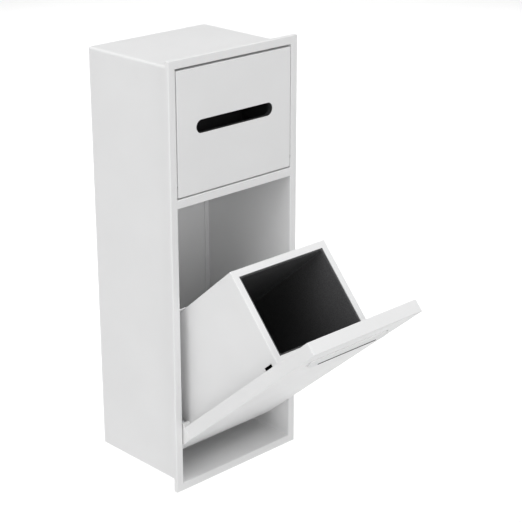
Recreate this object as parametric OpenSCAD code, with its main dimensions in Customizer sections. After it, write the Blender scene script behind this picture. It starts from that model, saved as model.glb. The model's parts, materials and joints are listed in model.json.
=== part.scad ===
// Recessed wall cabinet: a dispenser behind an upper tilting door, and a waste bin
// that tilts out below it on a front panel with an inlet slot.
// X is to the right, Y is into the wall, Z is up. The origin is the centre of the
// four wall screws, on the outside of the back panel. The door is drawn shut and
// the bin is drawn tilted out.

/* [Cabinet] */
// Overall width over the front flange
cab_w = 226; // [216:1:260]
// Overall height over the front flange
cab_h = 600; // [590:1:680]
// Depth from the front face to the back
cab_d = 170; // [165:1:210]
// How far the front flange stands out past the box on every side
overhang = 10; // [8:1:16]
// Depth of the folded lip round the front flange
lip_d = 6; // [4:1:12]
// Thickness of the cabinet, door and panel sheet
sheet = 1.5; // [1:0.1:1.5]
// Spacing of the wall screws across the back
screw_dx = 120; // [80:5:140]
// Spacing of the wall screws up the back
screw_dz = 480; // [440:5:500]
// Radius of the wall screw holes
screw_r = 2.75; // [2:0.25:3.5]

/* [Openings] */
// Height of the upper opening
upper_h = 170; // [166:1:174]
// Height of the rail between the two openings
rail_h = 12; // [10:1:14]
// Gap above the door and above the panel
gap_top = 3; // [2.5:0.5:4]
// Gap below the door
gap_low = 2; // [2:0.5:3]
// Gap at each side of the door and the panel
gap_side = 1.5; // [1.2:0.1:2]

/* [Door] */
// Depth of the folded door tray
door_t = 18; // [16:1:20]
// Width of the dispenser slot
slot_w = 135; // [100:1:140]
// Height of both slots
slot_h = 18; // [16:1:20]
// Height of the dispenser slot's centre above the door's lower edge
slot_a = 87.5; // [80:0.5:95]
// Depth of the pack tray behind the door
pack_d = 80; // [70:1:90]
// How far the door tilts before it meets its stops, in degrees
door_tilt = 55; // [45:1:60]

/* [Bin] */
// Height of the bin's front panel
panel_h = 370; // [360:1:374]
// Depth of the folded panel tray
panel_t = 18; // [16:1:18]
// Width of the bin
bin_w = 172; // [160:1:172]
// Depth of the bin behind the panel
bin_d = 133; // [120:1:135]
// Height of the bin's rim above the panel's lower edge
bin_top = 286; // [260:1:290]
// Width of the flat rim
rim_w = 10; // [8:1:12]
// Thickness of the bin's sheet
bin_sheet = 1.2; // [1:0.1:1.2]
// Wall thickness of the inner bucket
bucket_t = 1.5; // [1.2:0.1:2]
// How far the bin is tilted out, in degrees
bin_tilt = 49; // [20:1:49]
// Width of the inlet slot in the panel
inlet_w = 150; // [120:1:152]
// Height of the inlet slot's upper edge above the panel's lower edge
inlet_top = 330; // [320:1:340]
// How far the inlet flap swings out under its own weight, in degrees
flap_out = 20; // [0:1:20]

/* [Hidden] */
$fn = 48;

// Colours
white = [0.88, 0.88, 0.88];
white_in = [0.82, 0.82, 0.82];
black = [0.09, 0.09, 0.10];
rubber = [0.12, 0.12, 0.12];
zinc = [0.62, 0.64, 0.66];
steel = [0.70, 0.71, 0.72];

// Box and openings
box_w = cab_w - 2 * overhang;
box_h = cab_h - 2 * overhang;
in_x = box_w / 2 - sheet;
in_top = box_h / 2 - sheet;
upper_low = in_top - upper_h;
rail_low = upper_low - rail_h;
corner_r = 2;
run_gap = 0.05;
slip_gap = 0.3;
socket_share = 0.55;
face_x = in_x - gap_side;
screw_x = screw_dx / 2;
screw_z = screw_dz / 2;
shelf_flange = 10;
rail_return = 12;
rear_return = 7;
rear_y = -2 * sheet;

// Door: its own frame has x across, b back from its face and a up from its lower edge
door_z0 = upper_low + gap_low;
door_h = upper_h - gap_top - gap_low;
door_pivot_a = 14;
door_pivot_b = 5;
door_stud_r = 2.5;
block_x = 90;
block_high = 34;
block_screw_a = 27;
pack_x = 86;
pack_low = 18;
pack_high = 100;
pack_t = 1.2;
pack_flange = 11;
tray_stud_a = [50, 90];
guide_t = 3;
guide_edge = 9;
guide_collar = 9;
strike_w = 24;
strike_h = 20;

// Bin: its own frame is the same, measured from the panel
bin_z0 = rail_low - gap_top - panel_h;
pivot_a = 43;
pivot_b = 14;
pivot_y = pivot_b - cab_d;
pivot_z = bin_z0 + pivot_a;
stud_r = 4;
bin_x = bin_w / 2;
bin_low = 12;
bin_back = panel_t + bin_d;
ear_h = 68;
ear_back = 26;
ear_x = bin_x + 0.5;
ear_round = 4;
ear_screw_a = [14, 60];
tuck_w = 16;
tuck_h = 5;
tuck_drop = 11;
bucket_gap = 0.6;
bucket_low = bin_low + bin_sheet + 0.8;
bucket_x = bin_x - rim_w - bucket_gap;
bucket_b0 = panel_t + rim_w + bucket_gap;
bucket_b1 = bin_back - rim_w - bucket_gap;
bucket_top = bin_top - 0.5;
stiff_x = 58;
stiff_w = 30;
stiff_low = 20;
stiff_high = 300;
bolt_a = [60, 240];
bolt_hole_r = 2.6;
wing_low = 138;
wing_high = 170;
wing_strike_a = 148;
wing_x = 98;

// Stops: a tab on the moving unit meets a sleeved lug on the cabinet's side
sleeve_r = 4;
lug_r = 2.5;
stop_gap = 0.3;
tab_t = 1.5;
tab_x = 97;
tab_h = 22;
tab_d = 14;
bin_tab_low = 22.5;
bin_tab_back = bin_back - 1;
door_tab_low = pack_low;
door_tab_back = pack_d;

bin_lug = swing(bin_tab_low + tab_t + sleeve_r + stop_gap, bin_tab_back - 6,
                pivot_a, pivot_b, bin_tilt);
door_lug = swing(door_tab_low + tab_t + sleeve_r + stop_gap, door_tab_back - 5,
                 door_pivot_a, door_pivot_b, door_tilt);

// Magnetic catches, which the wings on the bin and the strike on the door meet
magnet_r = 5;
magnet_h = 4;
catch_x0 = 88;
catch_low = 32;
catch_high = 8;
catch_mid = (catch_x0 + in_x) / 2;
catch_screw_x = 92;
catch_screw_r = 1.5;
catch_screw_z = [-26, -14];
bin_catch_z = bin_z0 + wing_strike_a;
bin_catch_y = bin_back + tab_t + slip_gap - cab_d;
door_catch_y = door_t + slip_gap - cab_d;
door_catch_mid = door_z0 + door_h - sheet - strike_h / 2;

// Inlet flap
flap_a = inlet_top - 3;
flap_b = 5;
flap_t = 1.2;
flap_edge = 1;
flap_top_gap = 5.5;
buffer_x = 54;
buffer_h = 2.2;
flap_ear_x = 60;
flap_low = inlet_top - slot_h + flap_edge;
flap_pin_r = 1.2;
flap_eye_r = 3;
bracket_x = inlet_w / 2 + 2;

// A box given by its lowest and highest corners
module span(lo, hi) {
    translate(lo) cube(hi - lo);
}

// The same on the left and on the right
module both_sides() {
    children();
    mirror([1, 0, 0]) children();
}

// A round bar along X
module rod_x(x0, x1, r) {
    translate([x0, 0, 0]) rotate([0, 90, 0]) cylinder(h = x1 - x0, r = r);
}

// A round bar along Y
module rod_y(y0, y1, r) {
    translate([0, y0, 0]) rotate([-90, 0, 0]) cylinder(h = y1 - y0, r = r);
}

// A rectangle with round corners
module round_rect(w, h, r) {
    square([w - 2 * r, h], center = true);
    square([w, h - 2 * r], center = true);
    for (x = [-1, 1], y = [-1, 1])
        translate([x * (w / 2 - r), y * (h / 2 - r)]) circle(r);
}

// A flat shape, drawn in X and Z, made from y0 to y1
module upright(y0, y1) {
    translate([0, y1, 0]) rotate([90, 0, 0]) linear_extrude(y1 - y0) children();
}

// A flat shape, drawn in Y and Z, made from x0 to x1
module sideways(x0, x1) {
    translate([x0, 0, 0]) rotate([90, 0, 90]) linear_extrude(x1 - x0) children();
}

// The door's own frame, shut
module door_frame() {
    translate([0, -cab_d, door_z0]) children();
}

// The panel's own frame, tilted about its pivots
module bin_frame() {
    translate([0, pivot_y, pivot_z]) rotate([bin_tilt, 0, 0])
        translate([0, -pivot_b, -pivot_a]) children();
}

// The flap's own frame, swung out of its slot
module flap_frame() {
    bin_frame() translate([0, flap_b, flap_a]) rotate([-flap_out, 0, 0])
        translate([0, -flap_b, -flap_a]) children();
}

// A slot with round ends
module slot_shape(w, h) {
    round_rect(w, h, h / 2 - 0.01);
}

// A screw along Y: shank from y0 to y1, with a socket head beyond y1
module screw_y(y0, y1, r, head_r, head_h) {
    rod_y(y0, y1, r);
    difference() {
        rod_y(y1, y1 + head_h, head_r);
        translate([0, y1 + head_h / 2, 0]) rotate([-90, 0, 0])
            cylinder(h = head_h, r = head_r * socket_share, $fn = 6);
    }
}

// Where a unit's stop tab meets its lug, in the cabinet's frame
function swing(a, b, pa, pb, tilt) = [
    pb - (a - pa) * sin(tilt) + (b - pb) * cos(tilt) - cab_d,
    pa + (a - pa) * cos(tilt) + (b - pb) * sin(tilt)
];

// Cabinet -------------------------------------------------------------------

// The box, with a return round its rear that the back panel is fixed to
module housing_shell() {
    color(white) {
        upright(sheet - cab_d, 0) difference() {
            round_rect(box_w, box_h, corner_r + sheet);
            round_rect(box_w - 2 * sheet, box_h - 2 * sheet, corner_r);
        }
        upright(rear_y, -sheet) difference() {
            round_rect(box_w - sheet, box_h - sheet, corner_r);
            round_rect(2 * (in_x - rear_return), 2 * (in_top - rear_return), corner_r);
        }
    }
}

module back_panel() {
    color(white_in) upright(-sheet, 0) difference() {
        round_rect(box_w - 2 * sheet, box_h - 2 * sheet, corner_r);
        for (x = [-1, 1], z = [-1, 1])
            translate([x * screw_x, z * screw_z]) circle(screw_r);
    }
}

module opening_shapes() {
    translate([0, (in_top + upper_low) / 2]) square([2 * in_x, upper_h], center = true);
    translate([0, (rail_low - in_top) / 2]) square([2 * in_x, rail_low + in_top], center = true);
}

module front_frame() {
    color(white) {
        upright(-cab_d, sheet - cab_d) difference() {
            square([cab_w, cab_h], center = true);
            opening_shapes();
        }
        upright(sheet - cab_d, lip_d - cab_d) difference() {
            square([cab_w, cab_h], center = true);
            square([cab_w - 2 * sheet, cab_h - 2 * sheet], center = true);
        }
        span([-in_x, sheet - cab_d, rail_low], [in_x, rail_return - cab_d, rail_low + sheet]);
    }
}

module divider_shelf() {
    y0 = sheet - cab_d;
    color(white_in) {
        span([-in_x, y0, upper_low - sheet], [in_x, rear_y, upper_low]);
        both_sides() span([in_x - sheet, y0 + 20, upper_low - sheet - shelf_flange],
                          [in_x, rear_y, upper_low - sheet]);
        span([sheet - in_x, rear_y - sheet, upper_low - sheet - shelf_flange],
             [in_x - sheet, rear_y, upper_low - sheet]);
    }
}

// A stud welded to the cabinet's side, with a thin foot in the side gap
module side_stud(y, z, r, tip_x) {
    both_sides() translate([0, y, z]) {
        rod_x(tip_x, in_x, r);
        rod_x(in_x - gap_side + slip_gap, in_x, r + 2);
    }
}

module bin_pivot_studs() {
    color(steel) side_stud(pivot_y, pivot_z, stud_r, ear_x + 2);
}

module bin_stop_lugs() {
    color(steel) side_stud(bin_lug[0], bin_z0 + bin_lug[1], lug_r, bin_x + 3);
}

module door_pivot_studs() {
    color(steel) side_stud(door_pivot_b - cab_d, door_z0 + door_pivot_a, door_stud_r, 91);
}

module door_stop_lugs() {
    color(steel) side_stud(door_lug[0], door_z0 + door_lug[1], lug_r, pack_x + 4);
}

// A rubber sleeve on a stop lug
module lug_sleeves(y, z, x0) {
    color(rubber) both_sides() translate([0, y, z]) difference() {
        rod_x(x0, in_x - gap_side, sleeve_r);
        rod_x(x0 - 1, in_x, lug_r);
    }
}

module bin_stop_sleeves() {
    lug_sleeves(bin_lug[0], bin_z0 + bin_lug[1], bin_x + 4);
}

module door_stop_sleeves() {
    lug_sleeves(door_lug[0], door_z0 + door_lug[1], pack_x + 5);
}

// The bin's magnetic catches stand on the back panel, stepped over the return beside it
module bin_magnet_catches() {
    color(white) both_sides() difference() {
        span([catch_x0, bin_catch_y, bin_catch_z - catch_low],
             [in_x, -sheet, bin_catch_z + catch_high]);
        span([in_x - rear_return - slip_gap, rear_y - slip_gap, bin_catch_z - catch_low - 1],
             [in_x + 1, 0, bin_catch_z + catch_high + 1]);
        translate([catch_mid, 0, bin_catch_z]) rod_y(bin_catch_y - 1, bin_catch_y + magnet_h, magnet_r);
        for (z = catch_screw_z)
            translate([catch_screw_x, 0, bin_catch_z + z]) {
                rod_y(bin_catch_y - 1, 0, catch_screw_r);
                rod_y(bin_catch_y - 1, bin_catch_y + 2, 3);
            }
    }
}

module bin_magnets() {
    color(zinc) both_sides() translate([catch_mid, 0, bin_catch_z])
        rod_y(bin_catch_y, bin_catch_y + magnet_h, magnet_r);
}

module catch_screws() {
    color(zinc) both_sides() for (z = catch_screw_z)
        translate([catch_screw_x, 0, bin_catch_z + z]) mirror([0, 1, 0])
            screw_y(sheet, -bin_catch_y - 2, catch_screw_r, 2.8, 1.6);
}

// The door's catch hangs from the top of the box
module door_magnet_catch() {
    color(black) difference() {
        span([-14, door_catch_y, door_catch_mid - 9], [14, door_catch_y + 14, in_top]);
        translate([0, 0, door_catch_mid]) rod_y(door_catch_y - 1, door_catch_y + magnet_h, magnet_r);
    }
}

module door_magnet() {
    color(zinc) translate([0, 0, door_catch_mid])
        rod_y(door_catch_y, door_catch_y + magnet_h, magnet_r);
}

// Door ----------------------------------------------------------------------

// A folded tray: a face with a slot, and returns along its edges
module folded_tray(h, t, slot_x, slot_mid, side_low, low_x) {
    upright(0, sheet) difference() {
        translate([0, h / 2]) square([2 * face_x, h], center = true);
        translate([0, slot_mid]) slot_shape(slot_x, slot_h);
    }
    both_sides() span([face_x - sheet, sheet, side_low], [face_x, t, h]);
    span([sheet - face_x, sheet, h - sheet], [face_x - sheet, t, h]);
    span([-low_x, sheet, 0], [low_x, t, sheet]);
}

module door_panel() {
    color(white) door_frame() difference() {
        folded_tray(door_h, door_t, slot_w, slot_a, 0, face_x - sheet);
        translate([0, door_pivot_b, door_pivot_a]) rod_x(-cab_w, cab_w, door_stud_r + slip_gap);
    }
}

module door_pivot_blocks() {
    color(black) door_frame() both_sides() difference() {
        span([block_x, sheet, sheet], [face_x - sheet, door_t, block_high]);
        translate([0, door_pivot_b, door_pivot_a]) rod_x(block_x - 1, face_x, door_stud_r + run_gap);
        translate([(block_x + face_x - sheet) / 2, 0, block_screw_a]) rod_y(0, door_t + 1, 1.7);
    }
}

module door_block_screws() {
    color(zinc) door_frame() both_sides()
        translate([(block_x + face_x - sheet) / 2, 0, block_screw_a])
            screw_y(sheet, door_t, 1.5, 3, 1.8);
}

module slot_guide() {
    color(black) door_frame() translate([0, 0, slot_a]) difference() {
        union() {
            upright(sheet, sheet + guide_t)
                square([slot_w + 2 * guide_edge, slot_h + 2 * guide_edge], center = true);
            upright(sheet + guide_t, sheet + guide_collar) slot_shape(slot_w + 6, slot_h + 6);
        }
        upright(0, sheet + guide_collar + 1) slot_shape(slot_w + 2, slot_h + 2);
    }
}

module pack_tray() {
    color(black) door_frame() {
        span([-pack_x, 5, pack_low], [pack_x, pack_d, pack_low + pack_t]);
        span([-pack_x, pack_d - pack_t, pack_low], [pack_x, pack_d, pack_high]);
        both_sides() {
            span([pack_x - pack_t, sheet, 40], [pack_x, pack_d, pack_high]);
            span([pack_x - pack_t, 5, pack_low], [pack_x, pack_d, 40]);
            difference() {
                span([pack_x, sheet, 40], [pack_x + pack_flange, sheet + pack_t, pack_high]);
                for (a = tray_stud_a)
                    translate([pack_x + 6, 0, a]) rod_y(0, 10, 2.2);
            }
        }
    }
}

module tray_studs() {
    color(steel) door_frame() both_sides() for (a = tray_stud_a)
        translate([pack_x + 6, 0, a]) rod_y(sheet, 9, 2);
}

module tray_nuts() {
    color(zinc) door_frame() both_sides() for (a = tray_stud_a)
        translate([pack_x + 6, 0, a]) difference() {
            translate([0, sheet + pack_t, 0]) rotate([-90, 0, 0]) cylinder(h = 3.2, r = 4, $fn = 6);
            rod_y(0, 10, 2);
        }
}

module door_strike() {
    top = door_h - sheet;
    color(zinc) door_frame()
        span([-strike_w / 2, door_t - tab_t, top - strike_h], [strike_w / 2, door_t, top]);
}

// An angle on a moving unit's side whose foot meets the stop lug
module stop_angle(side_x, low, back) {
    both_sides() {
        span([side_x, back - tab_d, low], [side_x + tab_t, back, low + tab_h]);
        span([side_x + tab_t, back - tab_d, low], [tab_x, back, low + tab_t]);
    }
}

module door_stop_tabs() {
    color(steel) door_frame() stop_angle(pack_x, door_tab_low, door_tab_back);
}

// Bin -----------------------------------------------------------------------

module bin_panel() {
    color(white) bin_frame()
        folded_tray(panel_h, panel_t, inlet_w, inlet_top - slot_h / 2, ear_h + slip_gap, ear_x - slip_gap);
}

module panel_stiffeners() {
    color(white_in) bin_frame() both_sides() difference() {
        span([stiff_x - stiff_w / 2, sheet, stiff_low], [stiff_x + stiff_w / 2, panel_t, stiff_high]);
        span([stiff_x - stiff_w / 2 + sheet, 0, stiff_low - 1],
             [stiff_x + stiff_w / 2 - sheet, panel_t - sheet, stiff_high + 1]);
        for (a = bolt_a)
            translate([stiff_x, 0, a]) rod_y(panel_t - 2 * sheet, panel_t + 1, bolt_hole_r);
    }
}

// A moulded pivot block in the panel's lower corner, drawn for the right side
module ear_shape() {
    difference() {
        translate([sheet, 0]) square([ear_back - sheet, ear_h]);
        translate([ear_back - ear_round, ear_h - ear_round]) square(ear_round + 1);
    }
    translate([ear_back - ear_round, ear_h - ear_round]) circle(ear_round);
}

module pivot_ear() {
    difference() {
        sideways(ear_x, face_x) ear_shape();
        translate([0, pivot_b, pivot_a]) rod_x(ear_x - 1, face_x + 1, stud_r + run_gap);
        for (a = ear_screw_a)
            translate([(ear_x + face_x) / 2, 0, a]) rod_y(0, ear_back + 1, 2.2);
    }
}

module pivot_ear_right() {
    color(white) bin_frame() pivot_ear();
}

module pivot_ear_left() {
    color(white) bin_frame() mirror([1, 0, 0]) pivot_ear();
}

module ear_screws() {
    color(zinc) bin_frame() both_sides() for (a = ear_screw_a)
        translate([(ear_x + face_x) / 2, 0, a]) screw_y(sheet, ear_back, 2, 3.8, 2.4);
}

module bin_shell() {
    t = bin_sheet;
    rim_x = bin_x - rim_w;
    tuck_b = panel_t + t + 0.3;
    tuck_a = bin_top - tuck_drop - tuck_w;
    color(white) bin_frame() difference() {
        span([-bin_x, panel_t, bin_low], [bin_x, bin_back, bin_top]);
        span([t - bin_x, panel_t + t, bin_low + t], [bin_x - t, bin_back - t, bin_top - t]);
        span([-rim_x, panel_t + rim_w, bin_top - 2 * t], [rim_x, bin_back - rim_w, bin_top + 1]);
        span([-bin_x - 1, tuck_b, tuck_a], [bin_x + 1, tuck_b + tuck_h, tuck_a + tuck_w]);
        for (x = [-1, 1], a = bolt_a)
            translate([x * stiff_x, 0, a]) rod_y(panel_t - 1, panel_t + 2 * t, bolt_hole_r);
    }
}

module bin_bolts() {
    color(zinc) bin_frame() both_sides() for (a = bolt_a)
        translate([stiff_x, 0, a]) {
            screw_y(panel_t - 5, panel_t + bin_sheet, 2.5, 4.5, 2.8);
            difference() {
                rod_y(panel_t - sheet - 3, panel_t - sheet, 4.5);
                rod_y(panel_t - 6, panel_t, 2.5);
            }
        }
}

// A wing on each rear edge of the bin that meets a magnetic catch
module strike_tabs() {
    color(white) bin_frame() both_sides()
        span([bin_x - 16, bin_back, wing_low], [wing_x, bin_back + tab_t, wing_high]);
}

module bin_stop_tabs() {
    color(steel) bin_frame() stop_angle(bin_x, bin_tab_low, bin_tab_back);
}

module inner_bucket() {
    t = bucket_t;
    color(black) bin_frame() difference() {
        span([-bucket_x, bucket_b0, bucket_low], [bucket_x, bucket_b1, bucket_top]);
        span([t - bucket_x, bucket_b0 + t, bucket_low + t], [bucket_x - t, bucket_b1 - t, bucket_top + 1]);
    }
}

// Inlet flap ------------------------------------------------------------------

module flap_outline() {
    slot_shape(inlet_w - 2 * flap_edge, slot_h - 2 * flap_edge);
}

module flap_brackets() {
    color(zinc) bin_frame() both_sides() difference() {
        union() {
            span([bracket_x, sheet, flap_a - 7], [bracket_x + tab_t, flap_b + 4, flap_a + 7]);
            span([bracket_x, sheet, flap_a - 7], [bracket_x + 14, 2 * sheet, flap_a + 7]);
        }
        translate([0, flap_b, flap_a]) rod_x(bracket_x - 1, bracket_x + 4, flap_pin_r + run_gap);
    }
}

// The flap's upper edge is lowered, which leaves a gap above it when it is swung out
module inlet_flap() {
    mid = inlet_top - slot_h / 2;
    color(white) flap_frame() {
        difference() {
            upright(0, flap_t) intersection() {
                translate([0, mid]) flap_outline();
                translate([0, mid + flap_edge - flap_top_gap]) flap_outline();
            }
            span([-buffer_x, -1, 0], [buffer_x, flap_t + 1, flap_low + buffer_h]);
        }
        both_sides() difference() {
            union() {
                translate([0, flap_b, flap_a]) rod_x(flap_ear_x, flap_ear_x + tab_t, flap_eye_r);
                span([flap_ear_x, flap_t, mid - 1], [flap_ear_x + tab_t, flap_b, flap_a]);
            }
            translate([0, flap_b, flap_a]) rod_x(flap_ear_x - 1, flap_ear_x + 4, flap_pin_r);
        }
    }
}

// A rubber strip let into the flap's lower edge
module flap_buffer() {
    color(rubber) flap_frame()
        span([-buffer_x, 0, flap_low], [buffer_x, flap_t, flap_low + buffer_h]);
}

module flap_pin() {
    color(steel) flap_frame() translate([0, flap_b, flap_a])
        rod_x(-bracket_x - 3, bracket_x + 3, flap_pin_r);
}

housing_shell();
back_panel();
front_frame();
divider_shelf();
bin_pivot_studs();
bin_stop_lugs();
bin_stop_sleeves();
bin_magnet_catches();
bin_magnets();
catch_screws();
door_pivot_studs();
door_stop_lugs();
door_stop_sleeves();
door_magnet_catch();
door_magnet();
door_panel();
door_pivot_blocks();
door_block_screws();
slot_guide();
pack_tray();
tray_studs();
tray_nuts();
door_strike();
door_stop_tabs();
bin_panel();
panel_stiffeners();
pivot_ear_left();
pivot_ear_right();
ear_screws();
bin_shell();
bin_bolts();
strike_tabs();
bin_stop_tabs();
flap_brackets();
inlet_flap();
flap_buffer();
flap_pin();
inner_bucket();
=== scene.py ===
"""Looks of the recessed wall cabinet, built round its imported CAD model.

Lengths are in metres, in the model's own frame: X right, Y into the wall, Z up.
Each visible sheet or moulding is a piece made from its CAD solid with rounded
folds and eased edges. Turned and threaded parts keep their CAD shape.
"""
import json
import math

import bmesh
import bpy
from mathutils import Matrix, Vector


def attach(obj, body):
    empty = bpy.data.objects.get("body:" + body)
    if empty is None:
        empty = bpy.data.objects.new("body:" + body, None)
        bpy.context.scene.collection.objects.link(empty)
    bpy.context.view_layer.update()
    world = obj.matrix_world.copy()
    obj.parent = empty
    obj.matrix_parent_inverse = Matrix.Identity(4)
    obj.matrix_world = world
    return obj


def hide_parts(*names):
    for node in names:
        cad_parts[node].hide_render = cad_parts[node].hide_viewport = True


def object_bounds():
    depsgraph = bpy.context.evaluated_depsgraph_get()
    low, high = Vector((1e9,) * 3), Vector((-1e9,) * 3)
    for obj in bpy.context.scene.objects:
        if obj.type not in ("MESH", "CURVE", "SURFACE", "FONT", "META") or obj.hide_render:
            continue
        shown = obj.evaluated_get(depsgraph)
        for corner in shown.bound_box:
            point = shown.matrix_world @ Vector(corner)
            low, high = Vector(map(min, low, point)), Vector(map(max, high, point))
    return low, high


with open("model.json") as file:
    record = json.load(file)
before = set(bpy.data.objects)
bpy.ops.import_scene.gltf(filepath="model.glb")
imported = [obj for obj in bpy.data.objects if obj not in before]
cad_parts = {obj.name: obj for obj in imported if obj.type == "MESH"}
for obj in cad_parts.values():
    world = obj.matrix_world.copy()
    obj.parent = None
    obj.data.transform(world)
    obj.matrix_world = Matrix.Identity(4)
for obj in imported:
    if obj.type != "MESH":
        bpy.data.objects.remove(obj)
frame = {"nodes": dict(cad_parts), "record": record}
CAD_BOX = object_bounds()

NODES = frame["nodes"]
RECORD = frame["record"]
JOINTS = {joint["name"]: joint for joint in RECORD["behaviour"]["joints"]}
BODY_OF = {node: body for body, nodes in RECORD["behaviour"]["bodies"].items() for node in nodes}
SLOT_OF = {part["node"]: part["material_slot"] for part in RECORD["subparts"]}

# Radii of the edges
FOLD = 0.0011
OPENING = 0.0010
SLOT_EDGE = 0.0005
CUT = 0.0003
MOULDED = 0.0008
BUCKET_CORNER = 0.0030
LARGEST = BUCKET_CORNER

# Limits for reading a solid's edges
WELD = 1e-6
NEAR = 1e-4
FLAT = math.radians(0.5)
SHARP = math.radians(35)
BEVEL_SEGMENTS = 4

# Camera, as the object is seen
VIEW_AZIMUTH = math.radians(-44.1)
VIEW_ELEVATION = math.radians(20.86)
VIEW_DISTANCE = 1.996
VIEW_LENS = 103.76
VIEW_AIM = Vector((0.010, -0.001, 0.017))

# Stage
FLOOR_DROP = 0.60
FLOOR_SIZE = 60.0
BACKGROUND_DISTANCE = 4.0
BACKGROUND_SIZE = 6.8
BACKGROUND_HEIGHT = 1.2


# Materials -------------------------------------------------------------------

class Finish:
    """A procedural material: a Principled shader with textures in the piece's own coordinates."""

    def __init__(self, name, roughness, metallic=0.0, specular=0.5):
        self.material = bpy.data.materials.new(name)
        self.material.use_nodes = True
        self.tree = self.material.node_tree
        self.shader = self.tree.nodes["Principled BSDF"]
        self.shader.inputs["Roughness"].default_value = roughness
        self.shader.inputs["Metallic"].default_value = metallic
        self.shader.inputs["Specular IOR Level"].default_value = specular
        self.place = self.tree.nodes.new("ShaderNodeTexCoord").outputs["Object"]
        self.normal = None

    def link(self, a, b):
        self.tree.links.new(a, b)

    def noise(self, size, detail=2.0, stretch=(1, 1, 1)):
        """Noise whose features are about size metres across."""
        scale = self.tree.nodes.new("ShaderNodeMapping")
        scale.inputs["Scale"].default_value = stretch
        texture = self.tree.nodes.new("ShaderNodeTexNoise")
        texture.inputs["Scale"].default_value = 1 / size
        texture.inputs["Detail"].default_value = detail
        self.link(self.place, scale.inputs["Vector"])
        self.link(scale.outputs["Vector"], texture.inputs["Vector"])
        return texture.outputs["Fac"]

    def ranged(self, value, low, high):
        """Spreads a texture's middle values from low to high."""
        spread = self.tree.nodes.new("ShaderNodeMapRange")
        spread.inputs["From Min"].default_value = 0.3
        spread.inputs["From Max"].default_value = 0.7
        spread.inputs["To Min"].default_value = low
        spread.inputs["To Max"].default_value = high
        self.link(value, spread.inputs["Value"])
        return spread.outputs["Result"]

    def colour(self, dark, light, size, detail=3.0, stretch=(1, 1, 1)):
        """Colour that varies between two tones."""
        ramp = self.tree.nodes.new("ShaderNodeValToRGB")
        ramp.color_ramp.elements[0].color = (*dark, 1)
        ramp.color_ramp.elements[1].color = (*light, 1)
        ramp.color_ramp.elements[0].position = 0.3
        ramp.color_ramp.elements[1].position = 0.7
        self.link(self.noise(size, detail, stretch), ramp.inputs["Fac"])
        self.link(ramp.outputs["Color"], self.shader.inputs["Base Color"])
        return self

    def roughness(self, low, high, size, detail=2.0, stretch=(1, 1, 1)):
        """Roughness that varies between two values."""
        value = self.ranged(self.noise(size, detail, stretch), low, high)
        self.link(value, self.shader.inputs["Roughness"])
        return self

    def relief(self, size, depth, strength, detail=2.0, stretch=(1, 1, 1)):
        """Fine relief; a second call adds to the first."""
        bump = self.tree.nodes.new("ShaderNodeBump")
        bump.inputs["Strength"].default_value = strength
        bump.inputs["Distance"].default_value = depth
        self.link(self.noise(size, detail, stretch), bump.inputs["Height"])
        if self.normal is not None:
            self.link(self.normal, bump.inputs["Normal"])
        self.normal = bump.outputs["Normal"]
        self.link(self.normal, self.shader.inputs["Normal"])
        return self


def powder_coat():
    """Satin white powder coat with a faint orange peel."""
    paint = Finish("powder_coat", 0.42)
    paint.colour((0.840, 0.841, 0.843), (0.862, 0.863, 0.865), 0.09)
    paint.roughness(0.38, 0.47, 0.03)
    paint.relief(0.0018, 0.00010, 0.35, detail=1.0)
    return paint.relief(0.0005, 0.00003, 0.25, detail=1.0)


def black_coat():
    """Satin black powder coat. On the pack tray this black is partly the tray's own coat and partly
    painted shade: it makes the dispenser slot look dark.
    """
    paint = Finish("black_coat", 0.5)
    # Near-black tones: painted shade inside the dispenser slot, as well as the tray's coat
    paint.colour((0.045, 0.045, 0.047), (0.065, 0.065, 0.067), 0.05)
    paint.roughness(0.45, 0.6, 0.02)
    return paint.relief(0.0015, 0.0001, 0.35, detail=1.0)


def white_plastic():
    """White moulded plastic with a spark-eroded surface."""
    plastic = Finish("white_plastic", 0.5)
    plastic.colour((0.825, 0.825, 0.82), (0.85, 0.85, 0.845), 0.05)
    plastic.roughness(0.45, 0.55, 0.01)
    return plastic.relief(0.0006, 0.00004, 0.4)


def black_plastic():
    """Black moulded plastic."""
    plastic = Finish("black_plastic", 0.5)
    plastic.colour((0.040, 0.040, 0.042), (0.058, 0.058, 0.060), 0.02)
    plastic.roughness(0.42, 0.55, 0.008)
    return plastic.relief(0.0007, 0.00006, 0.4)


def bucket_black():
    """Black plastic with a fine moulded grain and a low sheen."""
    plastic = Finish("bucket_black", 0.4)
    plastic.colour((0.065, 0.065, 0.067), (0.120, 0.120, 0.123), 0.0016, detail=2.0)
    plastic.roughness(0.30, 0.46, 0.0012)
    plastic.relief(0.0022, 0.00016, 0.55, detail=2.0)
    return plastic.relief(0.0007, 0.00008, 0.45, detail=1.0)


def black_rubber():
    """Black rubber with a dull bloom."""
    rubber = Finish("black_rubber", 0.8, specular=0.3)
    rubber.colour((0.014, 0.014, 0.014), (0.03, 0.03, 0.03), 0.004)
    return rubber.relief(0.0005, 0.00006, 0.5)


def bright_steel():
    """Turned steel, with tool marks round it."""
    steel = Finish("bright_steel", 0.28, metallic=1.0)
    steel.colour((0.50, 0.50, 0.51), (0.64, 0.64, 0.65), 0.002, stretch=(6, 1, 1))
    steel.roughness(0.2, 0.36, 0.0008, stretch=(8, 1, 1))
    return steel.relief(0.0005, 0.00002, 0.4, stretch=(8, 1, 1))


def zinc_steel():
    """Bright zinc plating, a little cloudy."""
    zinc = Finish("zinc_steel", 0.36, metallic=1.0)
    zinc.colour((0.50, 0.51, 0.53), (0.66, 0.67, 0.69), 0.004)
    zinc.roughness(0.28, 0.5, 0.003)
    return zinc.relief(0.0008, 0.00002, 0.4)


def magnet_nickel():
    """Nickel plating on a magnet."""
    nickel = Finish("magnet_nickel", 0.22, metallic=1.0)
    nickel.colour((0.52, 0.51, 0.48), (0.62, 0.60, 0.57), 0.004)
    nickel.roughness(0.16, 0.3, 0.002)
    return nickel.relief(0.001, 0.00001, 0.3)


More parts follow.
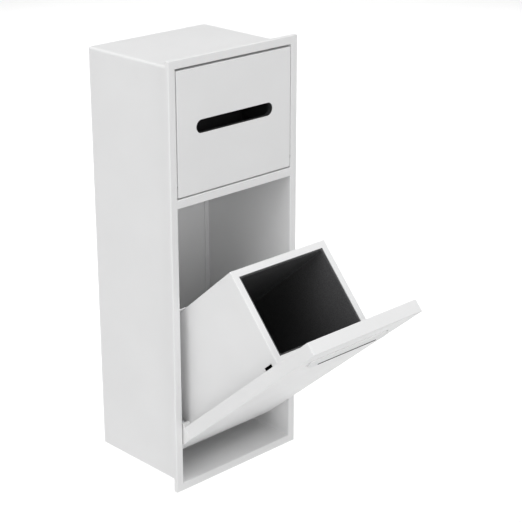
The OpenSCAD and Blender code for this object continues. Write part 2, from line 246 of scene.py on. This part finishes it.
def floor_white():
    """Pale studio floor."""
    paper = Finish("floor_white", 0.9, specular=0.1)
    return paper.colour((0.84, 0.84, 0.84), (0.86, 0.86, 0.86), 0.8)


FINISHES = {
    make.__name__: make().material
    for make in (
        powder_coat, black_coat, white_plastic, black_plastic, bucket_black,
        black_rubber, bright_steel, zinc_steel, magnet_nickel,
    )
}


# Pieces ----------------------------------------------------------------------

def turned(joint, degrees):
    """The turn of a hinge's pieces about its axis, from where they are drawn."""
    pivot = Matrix.Translation(Vector(JOINTS[joint]["pos_m"]))
    turn = Matrix.Rotation(math.radians(degrees), 4, Vector(JOINTS[joint]["axis"]))
    return pivot @ turn @ pivot.inverted()


AS_DRAWN = Matrix.Identity(4)
BIN_SHUT = turned("bin_tilt", JOINTS["bin_tilt"]["range_deg"][0])
UPRIGHT = {"bin_unit": BIN_SHUT, "flap": BIN_SHUT, "bucket": BIN_SHUT}

# Solids whose whole faces run round a hole too tightly to be filled in one go
SPLIT_FACES = {"slot_guide"}


class Solid:
    """A CAD solid's whole faces, stood upright so that its folds run along the axes."""

    def __init__(self, node):
        self.upright = UPRIGHT.get(BODY_OF[node], AS_DRAWN)
        self.shape = bmesh.new()
        self.shape.from_mesh(NODES[node].data)
        self.shape.transform(self.upright)
        bmesh.ops.remove_doubles(self.shape, verts=self.shape.verts, dist=WELD)
        bmesh.ops.dissolve_limit(
            self.shape, angle_limit=FLAT, verts=self.shape.verts, edges=self.shape.edges
        )
        if node in SPLIT_FACES:
            bmesh.ops.connect_verts_concave(self.shape, faces=self.shape.faces)
        places = [v.co for v in self.shape.verts]
        self.low = Vector(map(min, *places))
        self.high = Vector(map(max, *places))

    def at(self, edge, axis, value):
        """True if the whole edge lies at that place along an axis."""
        return all(abs(v.co[axis] - value) < NEAR for v in edge.verts)

    def front(self, edge):
        return self.at(edge, 1, self.low.y)

    def outline(self, edge):
        """True if the edge is on the outline, as seen from the front."""
        return any(
            self.at(edge, axis, limit[axis]) for axis in (0, 2) for limit in (self.low, self.high)
        )

    def corner(self, edge):
        """True if the edge runs back from a corner of the outline."""
        return all(
            self.at(edge, axis, self.low[axis]) or self.at(edge, axis, self.high[axis])
            for axis in (0, 2)
        )


def cut_sheet(solid, edge):
    return CUT


def moulding(solid, edge):
    return MOULDED


def flange(solid, edge):
    """The front frame: folded round the outside, eased at its openings."""
    if solid.corner(edge) or solid.front(edge) and solid.outline(edge):
        return FOLD
    return OPENING if solid.front(edge) else CUT


def tray(solid, edge):
    """A face folded back along its edges, with a punched slot."""
    if solid.corner(edge) or solid.front(edge) and solid.outline(edge):
        return FOLD
    return SLOT_EDGE if solid.front(edge) else CUT


def bin_box(solid, edge):
    """The bin: folded at its corners, its floor and its rim."""
    low, high = solid.low, solid.high
    side = any(solid.at(edge, 0, x) for x in (low.x, high.x))
    face = any(solid.at(edge, 1, y) for y in (low.y, high.y))
    level = any(solid.at(edge, 2, z) for z in (low.z, high.z))
    return FOLD if side + face + level >= 2 else CUT


def bucket(solid, edge):
    """A moulded bucket with round corners and an eased lip."""
    return MOULDED if solid.at(edge, 2, solid.high.z) else BUCKET_CORNER


# How each sheet or moulding is edged
EDGES = {
    "housing_shell": cut_sheet,
    "back_panel": cut_sheet,
    "front_frame": flange,
    "divider_shelf": cut_sheet,
    "bin_magnet_catches": moulding,
    "door_magnet_catch": moulding,
    "door_panel": tray,
    "door_pivot_blocks": moulding,
    "slot_guide": moulding,
    "pack_tray": cut_sheet,
    "door_strike": cut_sheet,
    "door_stop_tabs": cut_sheet,
    "bin_panel": tray,
    "panel_stiffeners": cut_sheet,
    "pivot_ear_left": moulding,
    "pivot_ear_right": moulding,
    "bin_shell": bin_box,
    "strike_tabs": cut_sheet,
    "bin_stop_tabs": cut_sheet,
    "flap_brackets": cut_sheet,
    "inlet_flap": cut_sheet,
    "flap_buffer": cut_sheet,
    "inner_bucket": bucket,
}


def edged_piece(node, radius_of):
    """A piece that stands for a CAD node, with each sharp edge rounded to its own radius."""
    solid = Solid(node)
    shape = solid.shape
    weight = shape.edges.layers.float.new("bevel_weight_edge")
    for edge in shape.edges:
        if len(edge.link_faces) == 2 and edge.calc_face_angle(0.0) > SHARP:
            edge[weight] = radius_of(solid, edge) / LARGEST
    for face in shape.faces:
        face.smooth = True
    shape.transform(solid.upright.inverted())
    mesh = bpy.data.meshes.new(node + "_finished")
    shape.to_mesh(mesh)
    shape.free()
    mesh.materials.append(FINISHES[SLOT_OF[node]])
    piece = bpy.data.objects.new(node + "_finished", mesh)
    bpy.context.scene.collection.objects.link(piece)
    bevel = piece.modifiers.new("rounded_edges", "BEVEL")
    bevel.limit_method = "WEIGHT"
    bevel.width = LARGEST
    bevel.segments = BEVEL_SEGMENTS
    bevel.use_clamp_overlap = False
    normals = piece.modifiers.new("flat_faces", "WEIGHTED_NORMAL")
    normals.mode = "FACE_AREA"
    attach(piece, BODY_OF[node])
    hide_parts(node)
    return piece


def keep_cad(node):
    """A turned or threaded CAD node keeps its shape and gets its finish."""
    mesh = NODES[node].data
    if not mesh.materials:
        mesh.materials.append(None)
    for slot in NODES[node].material_slots:
        slot.material = FINISHES[SLOT_OF[node]]


for name in NODES:
    if name in EDGES:
        edged_piece(name, EDGES[name])
    else:
        keep_cad(name)


# Stage, light and camera -------------------------------------------------------

def direction(azimuth, elevation):
    """The unit vector from the object towards a viewer. Azimuth 0 is in front, 90 on the right."""
    level = math.cos(elevation)
    return Vector((math.sin(azimuth) * level, -math.cos(azimuth) * level, math.sin(elevation)))


def aimed(obj, place, target):
    obj.location = place
    obj.rotation_mode = "QUATERNION"
    obj.rotation_quaternion = (target - place).to_track_quat("-Z", "Y")
    bpy.context.scene.collection.objects.link(obj)


def softbox(name, size, power, place, target):
    light = bpy.data.lights.new(name, "AREA")
    light.shape = "DISK"
    light.size = size
    light.energy = power
    aimed(bpy.data.objects.new(name, light), place, target)


def towards(azimuth, elevation, distance):
    """A place round the object, by angles in degrees."""
    return CENTRE + direction(math.radians(azimuth), math.radians(elevation)) * distance


def make_floor():
    mesh = bpy.data.meshes.new("floor")
    half = FLOOR_SIZE / 2
    corners = [(x, y, FLOOR_Z) for x, y in ((-half, -half), (half, -half), (half, half), (-half, half))]
    mesh.from_pydata(corners, [], [(0, 1, 2, 3)])
    mesh.materials.append(floor_white().material)
    floor = bpy.data.objects.new("floor", mesh)
    bpy.context.scene.collection.objects.link(floor)


def make_world(strength):
    world = bpy.data.worlds.new("studio")
    world.use_nodes = True
    sky = world.node_tree.nodes["Background"]
    sky.inputs["Color"].default_value = (1, 1, 1, 1)
    sky.inputs["Strength"].default_value = strength
    bpy.context.scene.world = world


CENTRE = (CAD_BOX[0] + CAD_BOX[1]) / 2
FLOOR_Z = CAD_BOX[0].z - FLOOR_DROP
make_floor()
make_world(0.42)
softbox("overhead", 2.4, 42, towards(-40, 75, 2.8), CENTRE)
softbox("left", 2.0, 23, towards(-80, 18, 3.0), CENTRE)
softbox("front", 1.8, 15, towards(-12, 16, 3.2), CENTRE)
behind = CENTRE - direction(VIEW_AZIMUTH, 0) * BACKGROUND_DISTANCE
behind.z = FLOOR_Z
softbox("background", BACKGROUND_SIZE, 120, behind + Vector((0, 0, BACKGROUND_HEIGHT)), behind)

camera = bpy.data.cameras.new("camera")
camera.lens = VIEW_LENS
aim = CENTRE + VIEW_AIM
viewer = bpy.data.objects.new("camera", camera)
aimed(viewer, aim + direction(VIEW_AZIMUTH, VIEW_ELEVATION) * VIEW_DISTANCE, aim)
bpy.context.scene.camera = viewer

bpy.context.scene.view_settings.view_transform = "Standard"
bpy.context.scene.view_settings.look = "None"

bpy.context.view_layer.update()
